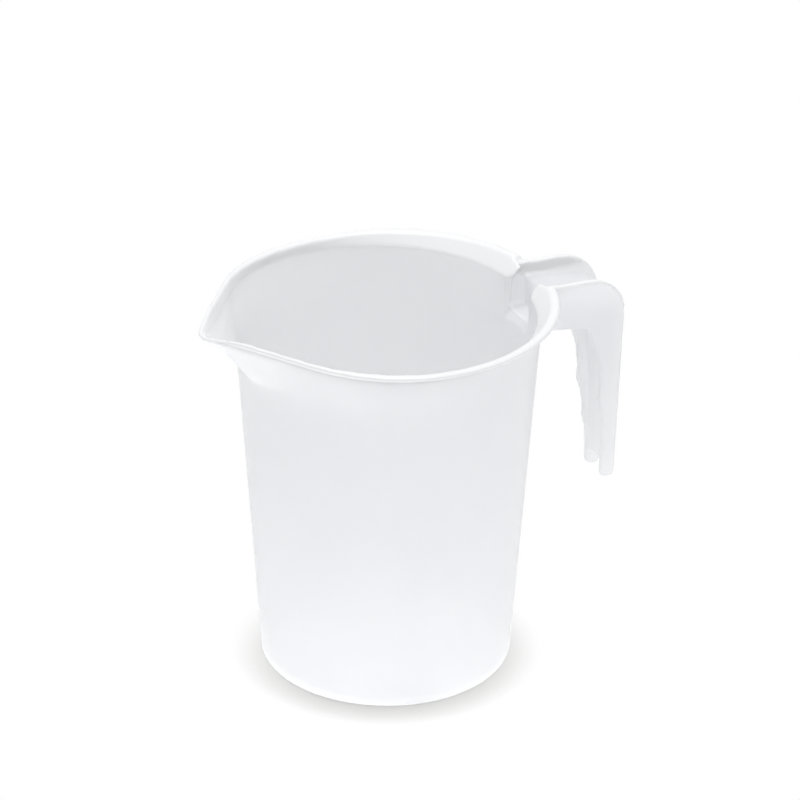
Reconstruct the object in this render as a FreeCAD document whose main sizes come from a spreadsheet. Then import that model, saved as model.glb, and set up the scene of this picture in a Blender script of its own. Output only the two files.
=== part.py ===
import FreeCAD, Part
import math
import os
import Sketcher
from FreeCAD import Vector

# A one-piece moulded measuring jug of translucent polypropylene, in millimetres.
# The origin is the centre of the base's underside, +Z is up, the handle points
# along +X and the spout along -X.

SIZES = {
    # the tapered vessel
    "rim_height": 155.0,
    "base_radius": 50.0,
    "mouth_radius": 61.0,
    "wall": 2.0,
    "floor_thick": 2.2,
    "foot_round": 1.4,
    "floor_round": 3.0,
    # the flare inside the mouth, set off towards the handle
    "lead_inset": 0.5,
    "lead_shift": 3.0,
    "lead_depth": 3.2,
    # the flat rim, which stands further out towards the handle
    "rim_width": 3.2,
    "rim_shift": 4.0,
    "rim_thick": 1.7,
    # the spout, whose lip rises above the rim and droops a little at its tip
    "spout_depth": 20.0,
    "spout_reach": 20.5,
    "spout_rise": 6.2,
    "spout_droop": 1.8,
    "crest_back": 11.0,
    "sweep_share": 0.25,
    "lip_wall": 2.4,
    "lip_shift": 2.2,
    "flare_width": 2.0,
    "flare_shift": 3.2,
    "beak_round": 7.6,
    "keel_inset": 0.2,
    "keel_round": 20.0,
    # the hooked handle: two side plates joined by a web
    "handle_reach": 38.6,
    "handle_drop": 1.8,
    "handle_length": 96.2,
    "arm_depth": 18.7,
    "arm_fall": 4.0,
    "arm_half": 13.9,
    "tip_half": 7.4,
    "plate": 2.8,
    "web": 2.2,
    "web_drop": 5.6,
    "web_fall": 3.3,
    "web_inset": 3.5,
    "web_round": 7.0,
    "web_end": 7.0,
    "web_draft": 0.8,
    "knuckle_round": 17.5,
    "shoulder_drop": 1.2,
    "throat_back": 19.2,
    "throat_round": 4.4,
    "grip_end": 6.4,
    "end_round": 2.9,
    # the pocket in the wall, behind the handle's root
    "pocket_reach": 5.3,
    "pocket_half": 7.5,
    "pocket_depth": 17.6,
    "pocket_slope": 0.8,
    # where the rim stops, so that the side plates' tops run in under it
    "rim_gap": 1.5,
}


class Size:
    """A length that keeps both its number and the sheet expression it comes from."""

    def __init__(self, number, text=None):
        self.number = float(number)
        self.text = text if text is not None else repr(float(number))

    def _join(self, other, sign, number):
        return Size(number, "(%s %s %s)" % (self.text, sign, other.text))

    def __add__(self, other):
        other = size(other)
        return self._join(other, "+", self.number + other.number)

    def __sub__(self, other):
        other = size(other)
        return self._join(other, "-", self.number - other.number)

    def __mul__(self, other):
        other = size(other)
        return self._join(other, "*", self.number * other.number)

    def __truediv__(self, other):
        other = size(other)
        return self._join(other, "/", self.number / other.number)

    def __neg__(self):
        return size(0) - self

    def __radd__(self, other):
        return size(other) + self

    def __rsub__(self, other):
        return size(other) - self

    def __rmul__(self, other):
        return size(other) * self


def size(value):
    return value if isinstance(value, Size) else Size(value)


doc = FreeCAD.newDocument("MeasuringJug")
sheet = doc.addObject("Spreadsheet::Sheet", "Sizes")
for row, (alias, number) in enumerate(SIZES.items(), start=1):
    sheet.set("A%d" % row, alias)
    sheet.set("B%d" % row, str(number))
    sheet.setAlias("B%d" % row, alias)
doc.recompute()

S = {alias: Size(number, "Sizes." + alias) for alias, number in SIZES.items()}

# How far the cutting tools run past the solids that they cut, and how far a
# piece that is fused on reaches into the wall.
MARGIN = 12.0
ROOT = 3.0
# How far an inner surface reaches past the one that it runs into.
LAP = 0.3
# How far the spout's body and the rim's band run on past the lip before they are trimmed.
PROUD = 2.0
# The spout's inside is set off further than its outside by this share of its wall.
INNER_SHIFT = 0.6

# The spout's levels between its start and its lip: share of the height, share of the
# way from the keel to the lip, how far short of that the tip stays, and how much
# rounder the tip is than at the lip.
SPOUT_LEVELS = (
    (0.66, 0.65, 0.0, 5.0),
    (0.76, 1.0, 2.6, 1.5),
    (1.0, 1.0, -0.4, 0.0),
)

# The cusps between the grip's finger grooves: how far in from the grip's outer face,
# share of the way down the grip, and the round of the groove below as a share of
# the grip's length.
CUSPS = (
    (14.6, 0.08, 0.62),
    (9.7, 0.47, 0.5),
    (7.6, 0.7, 0.52),
)
LAST_CUSP = 0.9

# Places that follow from the sizes: heights hang from the rim, reaches start at the mouth.
spout_start = S["rim_height"] - S["spout_depth"]
spout_tip = S["mouth_radius"] + S["spout_reach"]
grip_reach = S["mouth_radius"] + S["handle_reach"]
grip_top = S["rim_height"] - S["handle_drop"]
grip_bottom = grip_top - S["handle_length"]
arm_under = grip_top - S["arm_depth"]
pocket_floor = grip_top - S["pocket_depth"]
gap_reach = S["mouth_radius"] + S["rim_gap"]


def outer_radius(z):
    """The outside of the tapered wall at a height."""
    return S["base_radius"] + (S["mouth_radius"] - S["base_radius"]) * z / S["rim_height"]


def inner_radius(z):
    """The inside of the tapered wall at a height."""
    return outer_radius(z) - S["wall"]


def half_width(z):
    """Half the handle's width at a height: the side plates converge downwards."""
    slope = (S["arm_half"] - S["tip_half"]) / S["handle_length"]
    return S["tip_half"] + slope * (z - grip_bottom)


def new_body(name):
    return doc.addObject("PartDesign::Body", name)


def new_sketch(body, name, role, height=None):
    """A sketch on one of the body's own origin planes, raised to a height if given."""
    sketch = body.newObject("Sketcher::SketchObject", name)
    plane = [p for p in body.Origin.OriginFeatures if p.Role == role][0]
    sketch.AttachmentSupport = [(plane, "")]
    sketch.MapMode = "FlatFace"
    if height is not None:
        sketch.AttachmentOffset = FreeCAD.Placement(Vector(0, 0, height.number), FreeCAD.Rotation())
        sketch.setExpression("AttachmentOffset.Base.z", height.text)
    return sketch


def bind(sketch, kind, *parts):
    """Add a dimension whose value, the last part, is bound to the sheet."""
    value = parts[-1]
    index = sketch.addConstraint(Sketcher.Constraint(kind, *parts[:-1], value.number))
    sketch.setExpression("Constraints[%d]" % index, value.text)


def pin(sketch, kind, edge, end, value):
    """Fix one coordinate of a point, measured from the sketch's origin."""
    if abs(value.number) < 1e-9:
        axis = -2 if kind == "DistanceX" else -1
        sketch.addConstraint(Sketcher.Constraint("PointOnObject", edge, end, axis))
    elif value.number > 0:
        bind(sketch, kind, -1, 1, edge, end, value)
    else:
        bind(sketch, kind, edge, end, -1, 1, -value)


def arc_between(start, end, radius):
    """An arc from start to end that turns left for a positive radius, right for a negative."""
    chord = end - start
    half = chord.Length / 2
    side = Vector(-chord.y, chord.x, 0).normalize()
    reach = math.sqrt(max(radius * radius - half * half, 0.0))
    centre = start + chord * 0.5 + side * math.copysign(reach, radius)
    first = math.atan2(start.y - centre.y, start.x - centre.x)
    last = math.atan2(end.y - centre.y, end.x - centre.x)
    if radius < 0:
        first, last = last, first
    circle = Part.Circle(centre, Vector(0, 0, 1), abs(radius))
    return Part.ArcOfCircle(circle, first, last)


def outline(sketch, nodes):
    """A closed outline. A node is (x, y) or (x, y, radius), where the radius is that of
    the arc from this node to the next, positive when the arc turns left."""
    nodes = [tuple(size(value) for value in node) for node in nodes]
    points = [Vector(node[0].number, node[1].number, 0) for node in nodes]
    count = len(nodes)
    ends = []
    for i, node in enumerate(nodes):
        start, end = points[i], points[(i + 1) % count]
        if len(node) == 2:
            edge = sketch.addGeometry(Part.LineSegment(start, end), False)
            ends.append((edge, 1, 2))
        else:
            edge = sketch.addGeometry(arc_between(start, end, node[2].number), False)
            ends.append((edge, 1, 2) if node[2].number > 0 else (edge, 2, 1))
    for i, node in enumerate(nodes):
        before, here = ends[i - 1], ends[i]
        sketch.addConstraint(Sketcher.Constraint("Coincident", before[0], before[2], here[0], here[1]))
        pin(sketch, "DistanceX", here[0], here[1], node[0])
        pin(sketch, "DistanceY", here[0], here[1], node[1])
        if len(node) == 3:
            bind(sketch, "Radius", here[0], node[2] if node[2].number > 0 else -node[2])


def teardrop(sketch, back_shift, back_radius, tip_reach, tip_radius):
    """Two circles on the X axis and the two lines that touch both of them: the back
    circle's centre lies back_shift towards -X, the tip circle ends at -tip_reach."""
    tip_centre = tip_reach - tip_radius
    apart = tip_centre.number - back_shift.number
    touch = math.acos((back_radius.number - tip_radius.number) / apart)
    back = Part.Circle(Vector(-back_shift.number, 0, 0), Vector(0, 0, 1), back_radius.number)
    tip = Part.Circle(Vector(-tip_centre.number, 0, 0), Vector(0, 0, 1), tip_radius.number)
    back_arc = Part.ArcOfCircle(back, -math.pi + touch, math.pi - touch)
    tip_arc = Part.ArcOfCircle(tip, math.pi - touch, math.pi + touch)
    upper = Part.LineSegment(back_arc.EndPoint, tip_arc.StartPoint)
    lower = Part.LineSegment(tip_arc.EndPoint, back_arc.StartPoint)
    edges = [sketch.addGeometry(edge, False) for edge in (back_arc, upper, tip_arc, lower)]
    for first, second in zip(edges, edges[1:] + edges[:1]):
        sketch.addConstraint(Sketcher.Constraint("Tangent", first, 2, second, 1))
    for edge, centre, radius in ((edges[0], back_shift, back_radius), (edges[2], tip_centre, tip_radius)):
        sketch.addConstraint(Sketcher.Constraint("PointOnObject", edge, 3, -1))
        if centre.number > 0:
            bind(sketch, "DistanceX", edge, 3, -1, 1, centre)
        else:
            sketch.addConstraint(Sketcher.Constraint("PointOnObject", edge, 3, -2))
        bind(sketch, "Radius", edge, radius)


def revolved(name, nodes):
    """A body turned about Z from an outline in the XZ plane."""
    body = new_body(name)
    sketch = new_sketch(body, name + "Profile", "XZ_Plane")
    outline(sketch, nodes)
    turn = body.newObject("PartDesign::Revolution", name + "Turn")
    turn.Profile = sketch
    turn.ReferenceAxis = (sketch, ["V_Axis"])
    turn.Angle = 360
    return body


def side_profile(name, nodes, width):
    """A body padded both ways from an outline in the XZ plane."""
    body = new_body(name)
    sketch = new_sketch(body, name + "Profile", "XZ_Plane")
    outline(sketch, nodes)
    pad = body.newObject("PartDesign::Pad", name + "Pad")
    pad.Profile = sketch
    pad.Midplane = True
    pad.Length = width.number
    pad.setExpression("Length", width.text)
    return body


def wedge(name, inset):
    """The space between the two side plates' faces, which converge downwards."""
    body = new_body(name)
    sketch = new_sketch(body, name + "Profile", "YZ_Plane")
    low, high = grip_bottom - MARGIN, grip_top + 2 * MARGIN
    narrow, wide = half_width(low) - inset, half_width(high) - inset
    outline(sketch, [(-narrow, low), (narrow, low), (wide, high), (-wide, high)])
    pad = body.newObject("PartDesign::Pad", name + "Pad")
    pad.Profile = sketch
    pad.Midplane = True
    length = 2 * (grip_reach + MARGIN)
    pad.Length = length.number
    pad.setExpression("Length", length.text)
    return body


def spout(name, back_inset, tip_inset, round_inset):
    """The flaring spout, lofted through level sections that open out towards the lip."""
    start, reach = spout_start, spout_tip
    top = S["rim_height"] + S["spout_rise"] + PROUD
    keel = outer_radius(start) - S["keel_inset"]
    sections = [(start, keel, 0.0, S["beak_round"] + S["keel_round"])]
    for share, way, short, rounder in SPOUT_LEVELS:
        tip = keel + way * (reach - keel) - short
        sections.append((start + share * (top - start), tip, share, S["beak_round"] + rounder))
    body = new_body(name)
    sketches = []
    for number, (height, tip, share, tip_round) in enumerate(sections):
        sketch = new_sketch(body, "%sLevel%d" % (name, number), "XY_Plane", height)
        wall_radius = outer_radius(start) - ROOT / 6
        flare_radius = S["mouth_radius"] + S["flare_width"]
        back_radius = wall_radius + share * (flare_radius - wall_radius) - back_inset
        back_shift = share * (S["flare_shift"] + back_inset * INNER_SHIFT)
        inset = back_inset + share * (tip_inset - back_inset)
        teardrop(sketch, size(back_shift), back_radius, tip - inset, tip_round - round_inset)
        sketches.append(sketch)
    loft = body.newObject("PartDesign::AdditiveLoft", name + "Loft")
    loft.Profile = sketches[0]
    loft.Sections = sketches[1:]
    loft.Ruled = True
    return body


def cut(name, base, tool):
    result = doc.addObject("Part::Cut", name)
    result.Base = base
    result.Tool = tool
    return result


def common(name, base, tool):
    result = doc.addObject("Part::Common", name)
    result.Base = base
    result.Tool = tool
    return result


def fuse(name, shapes):
    result = doc.addObject("Part::MultiFuse", name)
    result.Shapes = shapes
    return result


def vessel_outside():
    """The tapered outside as a full solid, with its rounded foot."""
    foot = S["foot_round"]
    wall_foot = outer_radius(foot)
    return revolved("VesselOutside", [
        (0, 0),
        (wall_foot - foot, 0, foot),
        (wall_foot, foot),
        (S["mouth_radius"], S["rim_height"]),
        (0, S["rim_height"]),
    ])


def vessel_inside():
    """The cavity, with a rounded floor, run on past the top."""
    floor, corner, top = S["floor_thick"], S["floor_round"], S["rim_height"] + MARGIN
    wall_foot = inner_radius(floor + corner)
    return revolved("VesselInside", [
        (0, floor),
        (wall_foot - corner, floor, corner),
        (wall_foot, floor + corner),
        (inner_radius(top), top),
        (0, top),
    ])


def lead_in():
    """The flare under the rim, whose upper circle is set off towards the handle like the rim's."""
    low, top = S["rim_height"] - S["lead_depth"], S["rim_height"]
    lead_radius = S["mouth_radius"] - S["lead_inset"]
    body = new_body("LeadIn")
    sketches = []
    for number, (height, shift, radius) in enumerate((
            (low, size(0), inner_radius(low) - LAP),
            (top, S["lead_shift"], lead_radius),
            (top + MARGIN, S["lead_shift"], lead_radius + LAP))):
        sketch = new_sketch(body, "LeadLevel%d" % number, "XY_Plane", height)
        centre = Vector(shift.number, 0, 0)
        edge = sketch.addGeometry(Part.Circle(centre, Vector(0, 0, 1), radius.number), False)
        pin(sketch, "DistanceX", edge, 3, shift)
        sketch.addConstraint(Sketcher.Constraint("PointOnObject", edge, 3, -1))
        bind(sketch, "Radius", edge, radius)
        sketches.append(sketch)
    loft = body.newObject("PartDesign::AdditiveLoft", "LeadLoft")
    loft.Profile = sketches[0]
    loft.Sections = sketches[1:]
    loft.Ruled = True
    return body


# The rim's top is level at the handle's side and sweeps up towards the spout
# along one large arc, from sweep_start to the lip's crest.
brim = S["rim_height"]
sweep_start = S["mouth_radius"] * S["sweep_share"]
crest_reach = spout_tip - S["crest_back"]
crest_height = brim + S["spout_rise"]
rim_radius = S["mouth_radius"] + S["rim_width"]
sweep_run = sweep_start + crest_reach
sweep_radius = (sweep_run * sweep_run / S["spout_rise"] + S["spout_rise"]) / 2


def rim_plate():
    """The flat rim, which follows the swept top. Its outline joins a circle set off
    towards the handle to the spout's lip."""
    thick, edge = S["rim_thick"], S["mouth_radius"] + MARGIN
    tip_reach, high = spout_tip + PROUD, brim + 2 * MARGIN
    lower_arc = sweep_radius + thick
    lower_rise = lower_arc.number - math.sqrt(lower_arc.number ** 2 - sweep_run.number ** 2)
    lower_end = brim - thick + Size(lower_rise, "(%s - sqrt(%s ^ 2 - %s ^ 2))" % (
        lower_arc.text, lower_arc.text, sweep_run.text))
    band = side_profile("RimBand", [
        (-tip_reach, crest_height - S["spout_droop"] - thick),
        (-crest_reach, lower_end, lower_arc),
        (sweep_start, brim - thick),
        (edge, brim - thick),
        (edge, high),
        (-tip_reach, high),
    ], 2 * edge)
    disc = doc.addObject("Part::Cylinder", "RimDisc")
    disc.Height = 4 * MARGIN
    disc.setExpression("Radius", rim_radius.text)
    disc.setExpression("Placement.Base.x", S["rim_shift"].text)
    disc.setExpression("Placement.Base.z", (brim - MARGIN).text)
    lip = new_body("LipOutline")
    sketch = new_sketch(lip, "LipOutlineProfile", "XY_Plane", brim - MARGIN)
    teardrop(sketch, S["lip_shift"], rim_radius, spout_tip, S["beak_round"])
    pad = lip.newObject("PartDesign::Pad", "LipOutlinePad")
    pad.Profile = sketch
    pad.Length = 4 * MARGIN
    return common("RimPlate", band, fuse("RimOutline", [disc, lip]))


def lip_trim():
    """Everything above the swept lip, which ends in a drooping tip."""
    tip_reach = spout_tip + PROUD
    droop_run = tip_reach - crest_reach
    droop_radius = (droop_run * droop_run / S["spout_droop"] + S["spout_droop"]) / 2
    top, edge = brim + 2 * MARGIN, S["mouth_radius"] + MARGIN
    return side_profile("LipTrim", [
        (-tip_reach - MARGIN, top),
        (-tip_reach - MARGIN, crest_height - S["spout_droop"]),
        (-tip_reach, crest_height - S["spout_droop"], -droop_radius),
        (-crest_reach, crest_height, sweep_radius),
        (sweep_start, brim),
        (edge, brim),
        (edge, top),
    ], 2 * edge)


# The web's upper and outer face, which the channel and the hollow under the arm share.
web_front = S["mouth_radius"] + S["pocket_reach"]
web_top = grip_top - S["web_drop"]
web_low = web_top - S["web_fall"]
web_knee = grip_reach - S["web_inset"]
knee_round = S["web_round"]


def handle_blank():
    """The handle's side outline: a falling arm, a broad knuckle and a grip with finger scallops."""
    reach, top, bottom = grip_reach, grip_top, grip_bottom
    knuckle, end_round, throat = S["knuckle_round"], S["end_round"], S["throat_round"]
    root = S["mouth_radius"] - ROOT
    throat_top = arm_under - S["arm_fall"]
    throat_front = reach - S["throat_back"]
    inside = reach - S["grip_end"]
    shoulder = top - S["shoulder_drop"]
    grip = throat_top - bottom
    nodes = [
        (root, arm_under),
        (throat_front, throat_top, -throat),
        (throat_front + throat, throat_top - throat),
    ]
    nodes += [(reach - inset, throat_top - way * grip, -share * grip) for inset, way, share in CUSPS]
    nodes += [
        (inside, throat_top - LAST_CUSP * grip),
        (inside, bottom + end_round, end_round),
        (inside + end_round, bottom),
        (reach - end_round, bottom, end_round),
        (reach, bottom + end_round),
        (reach, shoulder - knuckle, knuckle),
        (reach - knuckle, shoulder),
        (root, top),
    ]
    profile = side_profile("HandleOutline", nodes, 2 * (S["arm_half"] + MARGIN))
    return common("HandleBlank", profile, wedge("PlateOutside", size(0)))


def wall_pocket():
    """The pocket in the wall, which opens the mouth towards the handle's channel."""
    floor, high = pocket_floor, grip_top + MARGIN
    back = inner_radius(floor) - MARGIN / 2
    return side_profile("PocketOutline", [
        (back, floor + S["pocket_slope"]),
        (web_front, floor),
        (web_front, high),
        (back, high),
    ], 2 * S["pocket_half"])


def handle_channel():
    """The open channel over the web and down its outer side."""
    front = gap_reach
    low, far, high = grip_bottom - MARGIN / 2, grip_reach + MARGIN, grip_top + MARGIN
    profile = side_profile("ChannelOutline", [
        (front, web_top),
        (web_front, web_top),
        (web_knee - knee_round, web_low, -knee_round),
        (web_knee, web_low - knee_round),
        (web_knee + S["web_draft"], low),
        (far, low),
        (far, high),
        (front, high),
    ], 2 * (S["arm_half"] + MARGIN))
    return common("Channel", profile, wedge("PlateInside", S["plate"]))


def rim_gap():
    """The gap in the rim over the handle, as wide as the side plates."""
    front, top, edge = gap_reach, grip_top, grip_reach + MARGIN
    high = top + MARGIN
    profile = side_profile("RimGapOutline", [
        (front, top),
        (edge, top),
        (edge, high),
        (front, high),
    ], 2 * (S["arm_half"] + MARGIN))
    return common("RimGap", profile, wedge("PlateOutsideAbove", size(0)))


def handle_hollow():
    """The hollow under the arm and behind the grip, between the side plates."""
    near, low, web = web_front + S["wall"], grip_bottom + S["web_end"], S["web"]
    profile = side_profile("HollowOutline", [
        (near, low - S["web_end"] - MARGIN / 2),
        (grip_reach + MARGIN, low - S["web_end"] - MARGIN / 2),
        (grip_reach + MARGIN, low),
        (web_knee - web + S["web_draft"], low),
        (web_knee - web, web_low - knee_round, knee_round - web),
        (web_knee - knee_round, web_low - web),
        (near, web_top - web),
    ], 2 * (S["arm_half"] + MARGIN))
    return common("Hollow", profile, wedge("PlateInner", S["plate"]))


def jug():
    """The whole jug, fused into one solid and then hollowed."""
    spout_outside = spout("SpoutOutside", size(0), size(0), size(0))
    spout_inside = spout("SpoutInside", S["wall"] - S["keel_inset"], S["lip_wall"], S["wall"])
    skirt = fuse("Skirt", [vessel_outside(), spout_outside, rim_plate()])
    trimmed = cut("TrimmedSkirt", skirt, lip_trim())
    handle = cut("HandlePlates", handle_blank(), handle_hollow())
    whole = fuse("Whole", [trimmed, handle])
    cavity = fuse("Cavity", [
        vessel_inside(), lead_in(), spout_inside, wall_pocket(), handle_channel(), rim_gap()])
    return cut("Jug", whole, cavity)


part = jug()
part.Label = "jug"
doc.recompute()

for item in doc.Objects:
    if "Invalid" in item.State or "Error" in item.State:
        raise SystemExit("failed: %s (%s) %s" % (item.Name, item.Label, item.State))

shape = part.Shape
if shape.isNull() or not shape.isValid() or len(shape.Solids) != 1:
    raise SystemExit("the jug is not one valid solid: %d" % len(shape.Solids))

box = shape.BoundBox
print("jug: volume %.0f mm3, box %.1f..%.1f  %.1f..%.1f  %.1f..%.1f" % (
    shape.Volume, box.XMin, box.XMax, box.YMin, box.YMax, box.ZMin, box.ZMax))

os.makedirs("parts", exist_ok=True)
shape.exportStep("parts/%s.step" % part.Label)
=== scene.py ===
"""A translucent plastic measuring jug on a plain white floor.

The jug is one skin. Radial sections make the vessel, from the floor's centre up and over the rim, and
flat-sided blocks make the handle. They are joined, and their edges are rounded together.
"""

import math

import bmesh
import bpy
from mathutils import Matrix, Vector


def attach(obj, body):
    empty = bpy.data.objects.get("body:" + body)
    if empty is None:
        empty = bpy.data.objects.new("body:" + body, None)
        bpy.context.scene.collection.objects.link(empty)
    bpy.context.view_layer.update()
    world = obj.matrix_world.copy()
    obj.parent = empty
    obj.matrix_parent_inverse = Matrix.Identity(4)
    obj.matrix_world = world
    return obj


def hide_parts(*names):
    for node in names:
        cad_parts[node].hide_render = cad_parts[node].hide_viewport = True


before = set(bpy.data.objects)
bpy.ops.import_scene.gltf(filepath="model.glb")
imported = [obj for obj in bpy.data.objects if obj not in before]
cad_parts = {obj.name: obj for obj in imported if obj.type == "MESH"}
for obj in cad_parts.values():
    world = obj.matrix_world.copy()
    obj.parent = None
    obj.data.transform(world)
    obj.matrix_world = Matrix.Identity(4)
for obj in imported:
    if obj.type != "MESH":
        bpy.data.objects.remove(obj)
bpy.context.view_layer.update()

# ---------------------------------------------------------------- sizes, in millimetres

MM = 0.001
HEIGHT = 155.0          # the level part of the rim
BASE_RADIUS = 50.0      # the wall's taper, outside, from the table up to the rim's height
MOUTH_RADIUS = 61.0
WALL = 2.0
FLOOR = 2.2
FOOT_ROUND = 1.6
FLOOR_ROUND = 3.0
GATE_RADIUS = 1.5       # the moulding gate's mark, in the middle of the floor
GATE_HIGH = 0.8

RIM_THICK = 2.0
RIM_RADIUS = 64.2       # the bead's outer edge, round a centre set off towards the handle
RIM_SHIFT = 4.0
RIM_WIDTH = 3.9         # the flat bead, which narrows along the spout
LIP_WIDTH = 1.9
LIP_SHIFT = 2.2         # the same edge where it runs into the spout's lip, set off the other way
LIP_STARTS = (112, 152)     # degrees from the handle over which the bead narrows
BEAD_ROUND = 0.6        # the bead's inner edge
LEAD_DEPTH = 3.6        # the flare inside the mouth, under the bead
LEAD_DEEPER = 2.8       # how much deeper it is at the handle
LEAD_EVEN = 110         # degrees from the handle, past which its depth stays the same
LEAD_LAND = 0.35        # the upright band between the flare and the bead's top
LEAD_WALL = 1.6         # the wall round the flare

SPOUT_START = 135.0     # the height at which the wall starts to swell
SPOUT_REACH = 81.5      # the tip, from the axis
SPOUT_RISE = 6.2        # of the lip's crest over the rim
SPOUT_DROOP = 1.8       # from the crest to the tip
BEAK_ROUND = 7.6
SPOUT_BACK = 63.0       # the radius of the spout's round back, at its top
KEEL_INSET = 0.2        # how far inside the wall the keel starts
BACK_INSET = 0.5        # and the back
FLARE_BLEND = (-1.6, -0.8, 0.0, 0.8, 1.6)   # heights that the flare is averaged over
CREASE = 0.8            # the softness of the line where the flare leaves the wall
CREST = SPOUT_REACH - 11.0              # from the axis
SWEEP_START = MOUTH_RADIUS * 0.25       # where the rim starts to rise, on the handle's side

GRIP_REACH = 99.6       # the grip's back, from the axis
GRIP_TOP = 153.2
GRIP_BOTTOM = 57.0
GRIP_END = 6.4          # the grip's depth at its lower end
END_ROUND = 2.9
SHOULDER_DROP = 1.2     # from the plates' tops at the rim to the knuckle
THROAT_BACK = 19.2      # from the grip's back to the middle of the round under the arm
THROAT = 4.4            # that round's radius
# Where two finger grooves meet: the depth of the grip, the share of the way down it, and the radius of
# the groove below, as a share of the grip's length. The last one has no groove below.
CUSPS = ((14.6, 0.08, 0.62), (9.7, 0.47, 0.5), (7.6, 0.7, 0.52), (GRIP_END, 0.9, None))
ARM_UNDER = 134.5       # the arm's underside at the wall
ARM_FALL = 4.0          # how much lower it is at the throat
ARM_HALF = 13.9         # half the handle's width at its top
TIP_HALF = 7.4          # and at its lower end
PLATE = 2.8
WEB = 2.2
WEB_TOP = 147.6
WEB_FALL = 3.3          # along the arm
WEB_KNEE = GRIP_REACH - 3.5     # where it turns down the grip
WEB_ROUND = 7.0
WEB_LEAN = 0.8          # how far the web's lower end stands back from the knee
WEB_FRONT = 66.3        # where the pocket in the wall ends
WEB_END = 7.0           # from the web's lower end to the grip's
KNUCKLE = 17.5
POCKET_FLOOR = 135.6
POCKET_HALF = 7.5       # half its width
POCKET_FLARE = 2.0      # the rounding of the opening's edge towards the inside
ROOT = MOUTH_RADIUS - 2.2   # where the handle's blocks end, inside the wall
ROOT_SLANT = (4.0, 5.5)     # cut off the plates' top corners there: across and down
UNDER_SINK = 0.2        # the root's underside, below the arm's
GAP_FROM = 62.8         # where the bead stops at the handle
CHANNEL_FROM = 64.2     # where the channel between the plates starts
CUT_TO = 80.0           # both cuts run clear of the wall
CUT_HIGH = GRIP_TOP + 12
SLAB_OVERLAP = 0.4      # the web runs this far into the plates


def soft_max(a, b, blend):
    """The larger of two, with the crossing rounded off over a length."""
    overlap = max(blend - abs(a - b), 0.0) / blend
    return max(a, b) + overlap * overlap * blend / 4


def smooth_step(value, low, high):
    t = min(max((value - low) / (high - low), 0.0), 1.0)
    return t * t * (3 - 2 * t)


def cone(z):
    """The outside of the plain tapered wall."""
    return BASE_RADIUS + (MOUTH_RADIUS - BASE_RADIUS) * z / HEIGHT


def circle_reach(phi, shift, radius):
    """How far a circle whose centre is set off along +X reaches in a direction."""
    return shift * math.cos(phi) + math.sqrt(radius ** 2 - (shift * math.sin(phi)) ** 2)


def teardrop_reach(phi, back_shift, back_radius, tip_reach, tip_radius):
    """How far two circles on -X, and the lines that touch both, reach in a direction."""
    tip_centre = tip_reach - tip_radius
    touch = math.acos((back_radius - tip_radius) / (tip_centre - back_shift))
    phi = abs(phi)

    def touched(centre, radius):
        return math.atan2(radius * math.sin(touch), -centre - radius * math.cos(touch))

    if phi <= touched(back_shift, back_radius):
        return circle_reach(phi, -back_shift, back_radius)
    if phi >= touched(tip_centre, tip_radius):
        return circle_reach(phi, -tip_centre, tip_radius)
    offset = back_radius + back_shift * math.cos(touch)
    return offset / (-math.cos(touch) * math.cos(phi) + math.sin(touch) * math.sin(phi))


def spout_levels(inset, shift, tip_inset, tip_round_inset):
    """The spout's level outlines: height, back shift, back radius, tip reach, tip round."""
    top = HEIGHT + SPOUT_RISE + 2
    keel = cone(SPOUT_START) - KEEL_INSET
    wall = cone(SPOUT_START) - BACK_INSET
    levels = []
    for share, tip, tip_round in (
            (0.0, keel, BEAK_ROUND + 20),
            (0.66, keel + 0.65 * (SPOUT_REACH - keel), BEAK_ROUND + 5),
            (0.76, SPOUT_REACH - 2.6, BEAK_ROUND + 1.5),
            (1.0, SPOUT_REACH - 0.4, BEAK_ROUND)):
        levels.append((
            SPOUT_START + share * (top - SPOUT_START),
            share * shift,
            wall + share * (SPOUT_BACK - wall) - inset,
            tip - inset - share * (tip_inset - inset),
            tip_round - tip_round_inset))
    return levels


OUTER_LEVELS = spout_levels(inset=0.0, shift=3.2, tip_inset=0.0, tip_round_inset=0.0)
INNER_LEVELS = spout_levels(inset=1.8, shift=4.3, tip_inset=2.4, tip_round_inset=2.0)


def flare_reach(levels, phi, z):
    """The spout's flare at a height, averaged over a short way so that its levels blend."""
    total = 0.0
    for offset in FLARE_BLEND:
        height = min(max(z + offset, levels[0][0]), levels[-1][0] - 0.001)
        for low, high in zip(levels, levels[1:]):
            if height <= high[0]:
                break
        t = (height - low[0]) / (high[0] - low[0])
        shape = [a + (b - a) * t for a, b in zip(low[1:], high[1:])]
        total += teardrop_reach(phi, *shape)
    return total / len(FLARE_BLEND)


def rim_reach(phi):
    """The rim's outer edge: a circle set off towards the handle, joined to the spout's lip."""
    lip = teardrop_reach(phi, LIP_SHIFT, RIM_RADIUS, SPOUT_REACH, BEAK_ROUND)
    return soft_max(circle_reach(phi, RIM_SHIFT, RIM_RADIUS), lip, CREASE)


def rim_top(x):
    """The rim's top is level at the handle's side, sweeps up to the crest and droops to the tip."""
    if x > SWEEP_START:
        return HEIGHT
    run = SWEEP_START + CREST
    radius = (run * run / SPOUT_RISE + SPOUT_RISE) / 2
    if x > -CREST:
        return HEIGHT + radius - math.sqrt(radius ** 2 - (SWEEP_START - x) ** 2)
    return HEIGHT + SPOUT_RISE - SPOUT_DROOP * smooth_step(-x, CREST, SPOUT_REACH + 6)


def outer_wall(phi, z):
    """How far the wall's outside reaches in a direction, at a height."""
    if z < SPOUT_START - 2:
        return cone(z)
    return soft_max(cone(z), flare_reach(OUTER_LEVELS, phi, z), CREASE)


def inner_wall(phi, z):
    """The same for its inside."""
    plain = cone(z) - WALL
    if z < SPOUT_START - 2:
        return plain
    return soft_max(plain, flare_reach(INNER_LEVELS, phi, z), CREASE)


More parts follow.
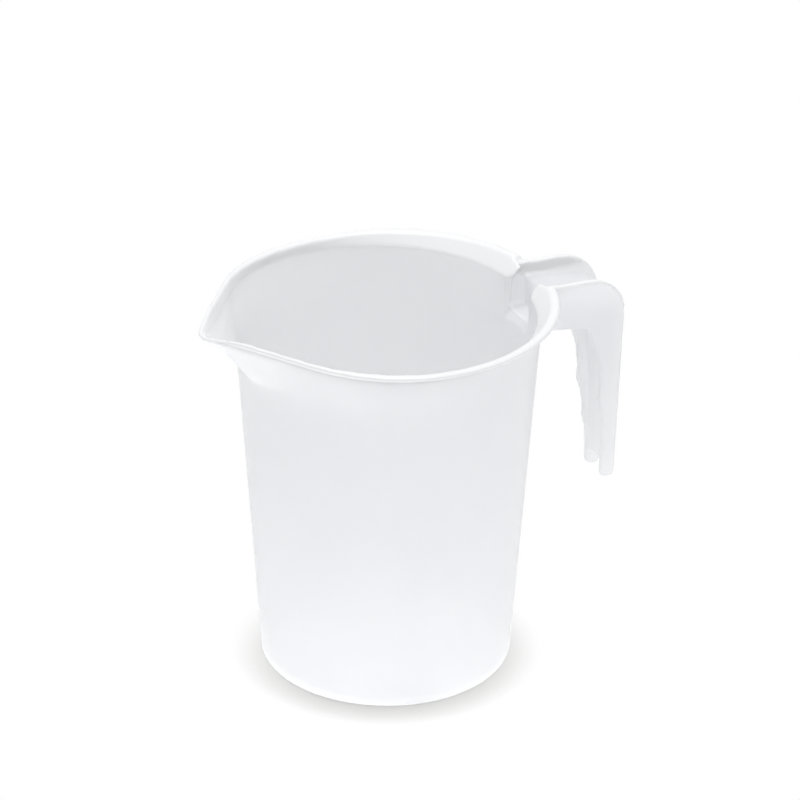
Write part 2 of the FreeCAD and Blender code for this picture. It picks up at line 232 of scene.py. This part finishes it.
def half_width(z):
    """Half the handle's width: its side plates converge downwards."""
    return TIP_HALF + (ARM_HALF - TIP_HALF) / (GRIP_TOP - GRIP_BOTTOM) * (z - GRIP_BOTTOM)


def inner_half(z):
    """Half the channel's width, between the side plates."""
    return half_width(z) - PLATE


def box_outline(near, far, low, high):
    return [(near, low), (far, low), (far, high), (near, high)]


def arc(centre, radius, start, end, steps):
    """Points on an arc, in degrees, ends included."""
    points = []
    for i in range(steps + 1):
        a = math.radians(start + (end - start) * i / steps)
        points.append((centre[0] + radius * math.cos(a), centre[1] + radius * math.sin(a)))
    return points


def bulge(start, end, radius, steps=10):
    """Points on an arc that bends to the left of the way from start to end, start left out."""
    a, b = Vector(start), Vector(end)
    half = (b - a).length / 2
    side = Vector((-(b - a).y, (b - a).x)).normalized()
    centre = (a + b) / 2 - side * math.sqrt(radius * radius - half * half)
    first = math.atan2(*(a - centre).yx)
    last = math.atan2(*(b - centre).yx)
    if last > first:
        last -= 2 * math.pi
    return [(centre.x + radius * math.cos(t), centre.y + radius * math.sin(t))
            for t in (first + (last - first) * i / steps for i in range(1, steps + 1))]


# ---------------------------------------------------------------- the moulded body

WALL_STEPS = 90         # up each side of a section, closer together towards the rim
VOXEL = 0.8             # the grain at which the pieces are joined
KEPT_SHARE = 0.33       # of the joined skin's faces


def column_profile(phi):
    """One radial section of the vessel, from the floor's centre up, over the rim and down."""
    around = abs(math.degrees(phi))
    rim = rim_reach(phi)
    top = rim_top(rim * math.cos(phi))
    width = RIM_WIDTH + (LIP_WIDTH - RIM_WIDTH) * smooth_step(around, *LIP_STARTS)
    depth = LEAD_DEPTH + LEAD_DEEPER * (1 - smooth_step(around, 0, LEAD_EVEN))
    low = top - depth
    edge = rim - width
    foot = inner_wall(phi, low)
    climb = depth - LEAD_LAND
    slope = (edge - foot) / climb

    def skirt(z):
        """The outside, which follows the lead-in outwards under the bead."""
        return soft_max(outer_wall(phi, z), foot + slope * (z - low) + LEAD_WALL, 1.2)

    floor_radius = cone(FLOOR + FLOOR_ROUND) - WALL - FLOOR_ROUND
    points = [(0.0, FLOOR + GATE_HIGH), (GATE_RADIUS - 0.3, FLOOR + GATE_HIGH), (GATE_RADIUS, FLOOR)]
    points += [(floor_radius * t, FLOOR) for t in (0.1, 0.25, 0.45, 0.65, 0.85)]
    points += arc((floor_radius, FLOOR + FLOOR_ROUND), FLOOR_ROUND, -90, 0, 6)
    start = FLOOR + FLOOR_ROUND
    for i in range(1, WALL_STEPS + 1):
        z = start + (low - start) * (1 - (1 - i / WALL_STEPS) ** 1.35)
        points.append((inner_wall(phi, z), z))
    for t in (0.25, 0.5, 0.75, 0.92):
        points.append((foot + (edge - foot) * t, low + climb * t))
    points += [(edge + BEAD_ROUND * (1 - math.cos(a)), top - BEAD_ROUND * (1 - math.sin(a)))
               for a in (math.radians(d) for d in (10, 35, 60, 90))]
    edge_round = RIM_THICK / 2
    points += [(rim - edge_round + edge_round * math.cos(a), top - edge_round + edge_round * math.sin(a))
               for a in (math.radians(d) for d in (90, 65, 40, 15, -15, -40, -65, -90))]
    under = top - RIM_THICK
    widest = rim - edge_round - 0.3
    points.append(((rim - edge_round + min(skirt(under), widest)) / 2 + 0.2, under))
    foot_radius = cone(FOOT_ROUND) - FOOT_ROUND
    for i in range(WALL_STEPS):
        z = under + (FOOT_ROUND - under) * (i / WALL_STEPS) ** 1.3
        points.append((min(skirt(z), widest), z))
    points += arc((foot_radius, FOOT_ROUND), FOOT_ROUND, 0, -90, 6)
    points += [(foot_radius * t, 0.0) for t in (0.85, 0.65, 0.45, 0.25, 0.1)]
    points.append((0.0, 0.0))
    return points


def column_angles():
    """Directions round the axis, a degree or so apart, and closer together at the spout's tip."""
    angles = [math.radians(1.25 * i) for i in range(0, 128)]
    angles += [math.radians(160 + 0.6 * i) for i in range(0, 26)]
    angles += [math.radians(175.6 + 0.35 * i) for i in range(0, 13)]
    half = [a for a in angles if 0 < a < math.pi - 0.002]
    return [0.0] + half + [math.pi] + [-a for a in reversed(half)]


def mesh_object(name, bm):
    """A mesh as an object in the scene, with its sizes already in metres."""
    mesh = bpy.data.meshes.new(name)
    bm.to_mesh(mesh)
    bm.free()
    obj = bpy.data.objects.new(name, mesh)
    bpy.context.scene.collection.objects.link(obj)
    return obj


def vessel_shell():
    """The vessel with its rim and spout: sections all round, joined by faces."""
    bm = bmesh.new()
    columns = []
    for phi in column_angles():
        points = column_profile(phi)
        columns.append([bm.verts.new((r * math.cos(phi) * MM, r * math.sin(phi) * MM, z * MM))
                        for r, z in points[1:-1]])
    inside = bm.verts.new((0, 0, (FLOOR + GATE_HIGH) * MM))
    outside = bm.verts.new((0, 0, 0))
    for here, there in zip(columns, columns[1:] + columns[:1]):
        for i in range(len(here) - 1):
            bm.faces.new((here[i], here[i + 1], there[i + 1], there[i]))
        bm.faces.new((inside, here[0], there[0]))
        bm.faces.new((outside, there[-1], here[-1]))
    bmesh.ops.recalc_face_normals(bm, faces=bm.faces)
    return mesh_object("vessel", bm)


def slab(name, outline, low_side, high_side):
    """A flat-sided block: an outline in XZ with two side faces, y as a function of z."""
    bm = bmesh.new()
    near = [bm.verts.new((x * MM, low_side(z) * MM, z * MM)) for x, z in outline]
    far = [bm.verts.new((x * MM, high_side(z) * MM, z * MM)) for x, z in outline]
    bm.faces.new(near)
    bm.faces.new(far[::-1])
    for i in range(len(outline)):
        j = (i + 1) % len(outline)
        bm.faces.new((near[j], near[i], far[i], far[j]))
    bmesh.ops.recalc_face_normals(bm, faces=bm.faces)
    return mesh_object(name, bm)


def handle_outline():
    """The side plates' outline: a falling arm, a broad knuckle and a grip with finger grooves."""
    throat_top = ARM_UNDER - ARM_FALL
    grip = throat_top - GRIP_BOTTOM
    shoulder = GRIP_TOP - SHOULDER_DROP
    cusps = [(GRIP_REACH - inset, throat_top - way * grip) for inset, way, _ in CUSPS]
    across, down = ROOT_SLANT
    points = [(ROOT + across, GRIP_TOP), (ROOT, GRIP_TOP - down), (ROOT, ARM_UNDER - UNDER_SINK)]
    points += arc((GRIP_REACH - THROAT_BACK, throat_top - THROAT), THROAT, 90, 0, 8)
    points.append(cusps[0])
    for start, end, (_, _, share) in zip(cusps, cusps[1:], CUSPS):
        points += bulge(start, end, share * grip, 10)
    points += arc((GRIP_REACH - GRIP_END + END_ROUND, GRIP_BOTTOM + END_ROUND), END_ROUND, 180, 270, 8)
    points += arc((GRIP_REACH - END_ROUND, GRIP_BOTTOM + END_ROUND), END_ROUND, -90, 0, 8)
    points += arc((GRIP_REACH - KNUCKLE, shoulder - KNUCKLE), KNUCKLE, 0, 90, 24)
    return points


def web_outline():
    """The web between the plates: over the arm, round the knuckle and down the grip."""
    bend = (WEB_KNEE - WEB_ROUND, WEB_TOP - WEB_FALL - WEB_ROUND)
    low = GRIP_BOTTOM + WEB_END
    points = [(WEB_FRONT, WEB_TOP)]
    points += arc(bend, WEB_ROUND, 90, 0, 12)
    points += [(WEB_KNEE + WEB_LEAN, low), (WEB_KNEE + WEB_LEAN - WEB, low)]
    points += arc(bend, WEB_ROUND - WEB, 0, 90, 10)
    points += [(WEB_FRONT + WALL, WEB_TOP - WEB - 0.2), (WEB_FRONT + WALL, ARM_UNDER - 1.6),
               (ROOT, ARM_UNDER - UNDER_SINK), (ROOT, POCKET_FLOOR), (WEB_FRONT, POCKET_FLOOR)]
    return points


def subtract(obj, tool):
    """Cut a tool out of a piece, and remove the tool."""
    cut = obj.modifiers.new("cut", "BOOLEAN")
    cut.operation = "DIFFERENCE"
    cut.solver = "MANIFOLD"
    cut.object = tool
    depsgraph = bpy.context.evaluated_depsgraph_get()
    mesh = bpy.data.meshes.new_from_object(obj.evaluated_get(depsgraph))
    obj.modifiers.clear()
    obj.data = mesh
    bpy.data.objects.remove(tool)


def pocket_tool():
    """The opening in the wall over the pocket, whose edge is rounded towards the inside."""
    sections = [(WEB_FRONT, POCKET_HALF, POCKET_FLOOR)]
    for i in range(9):
        a = math.radians(90 * i / 8)
        spread = POCKET_FLARE * (1 - math.cos(a))
        sections.append((MOUTH_RADIUS - 0.2 - POCKET_FLARE * math.sin(a), POCKET_HALF + spread,
                         POCKET_FLOOR - 1.4 * spread))
    sections.append((50.0, *sections[-1][1:]))
    bm = bmesh.new()
    rings = [[bm.verts.new((x * MM, y * MM, z * MM))
              for y, z in ((-half, low), (half, low), (half, CUT_HIGH), (-half, CUT_HIGH))]
             for x, half, low in sections]
    bm.faces.new(rings[0])
    bm.faces.new(rings[-1][::-1])
    for here, there in zip(rings, rings[1:]):
        for i in range(4):
            j = (i + 1) % 4
            bm.faces.new((here[j], here[i], there[i], there[j]))
    bmesh.ops.recalc_face_normals(bm, faces=bm.faces)
    return mesh_object("pocket", bm)


def rounded_jug():
    """The vessel and the handle, joined into one skin with every edge softly rounded."""
    vessel = vessel_shell()
    gap = box_outline(GAP_FROM, CUT_TO, GRIP_TOP - 0.1, CUT_HIGH)
    subtract(vessel, slab("gap", gap, lambda z: -half_width(z), half_width))
    channel = box_outline(CHANNEL_FROM, CUT_TO, WEB_TOP, CUT_HIGH)
    subtract(vessel, slab("channel", channel, lambda z: -inner_half(z), inner_half))
    subtract(vessel, pocket_tool())
    pieces = [
        vessel,
        slab("near_plate", handle_outline(), lambda z: -half_width(z), lambda z: -inner_half(z)),
        slab("far_plate", handle_outline(), inner_half, half_width),
        slab("web", web_outline(), lambda z: -inner_half(z) - SLAB_OVERLAP,
             lambda z: inner_half(z) + SLAB_OVERLAP),
    ]
    bm = bmesh.new()
    for piece in pieces:
        bm.from_mesh(piece.data)
        bpy.data.objects.remove(piece)
    jug = mesh_object("jug_skin", bm)
    join = jug.modifiers.new("skin", "REMESH")
    join.mode = "VOXEL"
    join.voxel_size = VOXEL * MM
    join.use_smooth_shade = True
    soften = jug.modifiers.new("soften", "SMOOTH")
    soften.factor = 0.5
    soften.iterations = 5
    thin = jug.modifiers.new("thin", "DECIMATE")
    thin.ratio = KEPT_SHARE
    depsgraph = bpy.context.evaluated_depsgraph_get()
    mesh = bpy.data.meshes.new_from_object(jug.evaluated_get(depsgraph))
    jug.modifiers.clear()
    jug.data = mesh
    jug.data.shade_smooth()
    return jug


# ---------------------------------------------------------------- materials

MILK_DARK = (0.955, 0.96, 0.975, 1)
MILK_LIGHT = (0.975, 0.98, 0.99, 1)
# The bead's whiter, solid plastic, and painted light on the upward-facing flare inside the mouth.
BEAD_AND_PAINTED_LIGHT_WHITE = (0.70, 0.705, 0.715, 1)
IOR = 1.49
BEAD_FADE = (2.0, 0.6)      # millimetres inside the bead's inner edge, over which it whitens
UNDER_FADE = (0.8, 0.2)     # and below its underside

FLOOR_MATTE = (0.9, 0.9, 0.9, 1)
FLOOR_SHADE = (0.6, 0.6, 0.58, 1)
WHITE = (1, 1, 1, 1)
SHADOW_REACH = 0.013        # metres
SHADOW_SIDE = (0.3, 0.6, 0.74)      # the painted shadow's occlusion looks back along this, so that shadow lies at the front
PAINTED_FLOOR_GLOW = 1.1            # painted light: the floor glows round the foot for all but the camera's rays, lighting the jug from below
GLOW_FADE = (0.12, 0.34)    # metres from the foot's centre


class Value:
    """A shader socket that Python's operators can be used on."""

    def __init__(self, kit, socket):
        self.kit = kit
        self.socket = socket

    def _math(self, operation, *values):
        return self.kit.node("ShaderNodeMath", {"operation": operation}, dict(enumerate(values)))

    def __add__(self, other):
        return self._math("ADD", self, other)

    def __radd__(self, other):
        return self._math("ADD", other, self)

    def __sub__(self, other):
        return self._math("SUBTRACT", self, other)

    def __rsub__(self, other):
        return self._math("SUBTRACT", other, self)

    def __mul__(self, other):
        return self._math("MULTIPLY", self, other)

    def __rmul__(self, other):
        return self._math("MULTIPLY", other, self)


class Shader:
    """A material's node tree."""

    def __init__(self, name):
        self.material = bpy.data.materials.new(name)
        self.material.use_nodes = True
        self.tree = self.material.node_tree
        self.tree.nodes.clear()
        self.output = self.tree.nodes.new("ShaderNodeOutputMaterial")

    def node(self, kind, settings=None, inputs=None, out=0):
        made = self.tree.nodes.new(kind)
        for name, value in (settings or {}).items():
            setattr(made, name, value)
        for name, value in (inputs or {}).items():
            if isinstance(value, Value):
                self.tree.links.new(value.socket, made.inputs[name])
            else:
                made.inputs[name].default_value = value
        return Value(self, made.outputs[out])

    def surface(self, value):
        self.tree.links.new(value.socket, self.output.inputs["Surface"])
        return self.material


def bead_and_painted_light_mask(s, place):
    """1 on the rim's bead, solid plastic that looks whiter, and painted light on the flare inside it: its
    upward-facing side is whitened where the light from above falls.
    """
    x, y, z = (s.node("ShaderNodeSeparateXYZ", inputs={0: place}, out=i) for i in range(3))
    run = s.node("ShaderNodeMath", {"operation": "MAXIMUM"}, {0: SWEEP_START * MM - x, 1: 0.0})
    sweep = (SWEEP_START + CREST) * MM
    rise = run * run * (SPOUT_RISE * MM / sweep ** 2)
    from_rim = x - RIM_SHIFT * MM
    reach = s.node("ShaderNodeMath", {"operation": "SQRT"}, {0: from_rim * from_rim + y * y})
    inside, under = RIM_RADIUS - RIM_WIDTH, HEIGHT - RIM_THICK
    out = s.node("ShaderNodeMapRange", inputs={
        "Value": reach, "From Min": (inside - BEAD_FADE[0]) * MM, "From Max": (inside - BEAD_FADE[1]) * MM})
    high = s.node("ShaderNodeMapRange", inputs={
        "Value": z - rise,
        "From Min": (under - UNDER_FADE[0]) * MM, "From Max": (under - UNDER_FADE[1]) * MM})
    forward = s.node("ShaderNodeMath", {"operation": "MAXIMUM"}, {0: x, 1: 0.0})
    flare_foot = LEAD_DEPTH + 0.2 + LEAD_DEEPER / MOUTH_RADIUS / MM * forward
    over_foot = s.node("ShaderNodeMapRange", inputs={
        "Value": z - rise - (HEIGHT * MM - flare_foot * MM),
        "From Min": -0.1 * MM, "From Max": 0.3 * MM})
    facing = s.node("ShaderNodeTexCoord", out="Normal")
    upward = s.node("ShaderNodeSeparateXYZ", inputs={0: facing}, out=2)
    top_side = s.node("ShaderNodeMapRange", inputs={"Value": upward, "From Min": 0.02, "From Max": 0.1})
    # The flare's share is painted light: only its upward-facing side, where the light from above falls.
    bead, flare = out * high, over_foot * top_side
    return s.node("ShaderNodeMath", {"operation": "MAXIMUM"}, {0: bead, 1: flare})


def translucent_polypropylene():
    """Natural polypropylene: milky, lets light through, with a soft sheen and a fine grain."""
    s = Shader("natural_polypropylene")
    place = s.node("ShaderNodeTexCoord", out="Object")
    cloud = s.node("ShaderNodeTexNoise", inputs={"Vector": place, "Scale": 38.0, "Detail": 3.0})
    milk = s.node("ShaderNodeMix", {"data_type": "RGBA"}, {0: cloud, 6: MILK_DARK, 7: MILK_LIGHT}, out=2)
    grain = s.node("ShaderNodeTexNoise", inputs={"Vector": place, "Scale": 1400.0, "Detail": 2.0})
    bump = s.node("ShaderNodeBump", inputs={"Height": grain, "Strength": 0.04, "Distance": 0.0002})
    skin = s.node("ShaderNodeBsdfPrincipled", inputs={
        "Base Color": milk, "Roughness": 0.15 + 0.05 * cloud, "Normal": bump, "IOR": IOR,
        "Transmission Weight": 0.6})
    glow = s.node("ShaderNodeBsdfTranslucent", inputs={"Color": milk, "Normal": bump})
    thin = s.node("ShaderNodeMixShader", inputs={0: 0.4, 1: skin, 2: glow})
    # Whiter and opaque: the bead's solid plastic, and painted light on the flare's upward-facing side.
    bead_and_painted_light = s.node("ShaderNodeBsdfPrincipled", inputs={
        "Base Color": BEAD_AND_PAINTED_LIGHT_WHITE, "Roughness": 0.34, "Normal": bump, "IOR": IOR})
    return s.surface(s.node("ShaderNodeMixShader", inputs={0: bead_and_painted_light_mask(s, place), 1: thin, 2: bead_and_painted_light}))


def floor_white():
    """A floor that is plain white, but for a painted shadow close to the object's foot, taken from the
    occlusion there; round the foot it also glows, a painted pool of light unseen by the camera.
    """
    s = Shader("floor_white")
    matte = s.node("ShaderNodeBsdfDiffuse", inputs={"Color": FLOOR_MATTE})
    shade = s.node("ShaderNodeBsdfDiffuse", inputs={"Color": FLOOR_SHADE})
    white = s.node("ShaderNodeEmission", inputs={"Color": WHITE, "Strength": 1.0})
    seen = s.node("ShaderNodeLightPath", out="Is Camera Ray")
    # A painted pool of light: the floor glows round the foot, seen by the jug's rays and not the camera's.
    glow = s.node("ShaderNodeEmission", inputs={"Color": WHITE, "Strength": PAINTED_FLOOR_GLOW})
    place = s.node("ShaderNodeTexCoord", out="Object")
    away = s.node("ShaderNodeVectorMath", {"operation": "LENGTH"}, {0: place}, out="Value")
    painted_glow_pool = s.node("ShaderNodeMapRange", inputs={
        "Value": away, "From Min": GLOW_FADE[0], "From Max": GLOW_FADE[1], "To Min": 1.0, "To Max": 0.0})
    mirrored = s.node("ShaderNodeLightPath", out="Is Glossy Ray")
    through = s.node("ShaderNodeLightPath", out="Is Transmission Ray")
    lean = s.node("ShaderNodeCombineXYZ", inputs=dict(enumerate(SHADOW_SIDE)))
    # The painted shadow: the occlusion near the foot, leaned to the front, mixes in the darker shade for
    # the camera.
    clear = s.node("ShaderNodeAmbientOcclusion", {"samples": 8}, {
        "Distance": SHADOW_REACH, "Normal": lean}, out="AO")
    matte_with_painted_glow = s.node("ShaderNodeMixShader", inputs={
        0: painted_glow_pool * clear, 1: matte, 2: s.node("ShaderNodeAddShader", inputs={0: matte, 1: glow})})
    under = s.node("ShaderNodeMixShader", inputs={0: seen, 1: matte_with_painted_glow, 2: shade})
    return s.surface(s.node("ShaderNodeMixShader", inputs={
        0: (seen + mirrored) * clear + through, 1: under, 2: white}))


# ---------------------------------------------------------------- the object

jug = rounded_jug()
jug.data.materials.clear()
jug.data.materials.append(translucent_polypropylene())
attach(jug, "root")
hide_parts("jug")

# ---------------------------------------------------------------- floor, light and camera

bm = bmesh.new()
bmesh.ops.create_grid(bm, x_segments=1, y_segments=1, size=3.0)
ground = mesh_object("floor", bm)
ground.data.materials.append(floor_white())


def soft_lamp(name, place, target, width, power):
    """A square lamp that faces a point."""
    data = bpy.data.lights.new(name, "AREA")
    data.shape = "SQUARE"
    data.size = width
    data.energy = power
    lamp = bpy.data.objects.new(name, data)
    bpy.context.scene.collection.objects.link(lamp)
    lamp.location = place
    lamp.rotation_mode = "QUATERNION"
    lamp.rotation_quaternion = (Vector(target) - Vector(place)).to_track_quat("-Z", "Y")
    return lamp


soft_lamp("overhead", (0.0, 0.05, 1.2), (0, 0, 0.1), 0.7, 7.0)
soft_lamp("front", (-0.6, -1.17, 0.2), (0, 0, 0.05), 0.8, 1.5)

world = bpy.data.worlds.new("studio")
world.use_nodes = True
nodes, links = world.node_tree.nodes, world.node_tree.links
nodes.clear()
out = nodes.new("ShaderNodeOutputWorld")
ambient = nodes.new("ShaderNodeBackground")
ambient.inputs["Color"].default_value = WHITE
ambient.inputs["Strength"].default_value = 0.84
links.new(ambient.outputs[0], out.inputs[0])
bpy.context.scene.world = world

AZIMUTH = math.radians(-27.0)
ELEVATION = math.radians(28.6)
DISTANCE = 2.4
LEAN = math.radians(0.46)
LENS = 271.1
AIM = Vector((0, 0, 0.075))
AIM_RIGHT, AIM_UP = 0.0050, 0.0324      # metres across the view, from the aim

back = Vector((math.sin(AZIMUTH) * math.cos(ELEVATION), -math.cos(AZIMUTH) * math.cos(ELEVATION),
               math.sin(ELEVATION)))
right = Vector((math.cos(AZIMUTH), math.sin(AZIMUTH), 0))
up = back.cross(right)
camera_data = bpy.data.cameras.new("camera")
camera_data.sensor_width = 36.0
camera_data.lens = LENS
camera_data.clip_end = 50.0
camera = bpy.data.objects.new("camera", camera_data)
bpy.context.scene.collection.objects.link(camera)
camera.location = AIM + back * DISTANCE + right * AIM_RIGHT + up * AIM_UP
camera.rotation_mode = "QUATERNION"
turned = Matrix((right, up, back)).transposed() @ Matrix.Rotation(LEAN, 3, "Z")
camera.rotation_quaternion = turned.to_quaternion()
bpy.context.scene.camera = camera

bpy.context.scene.view_settings.view_transform = "Standard"
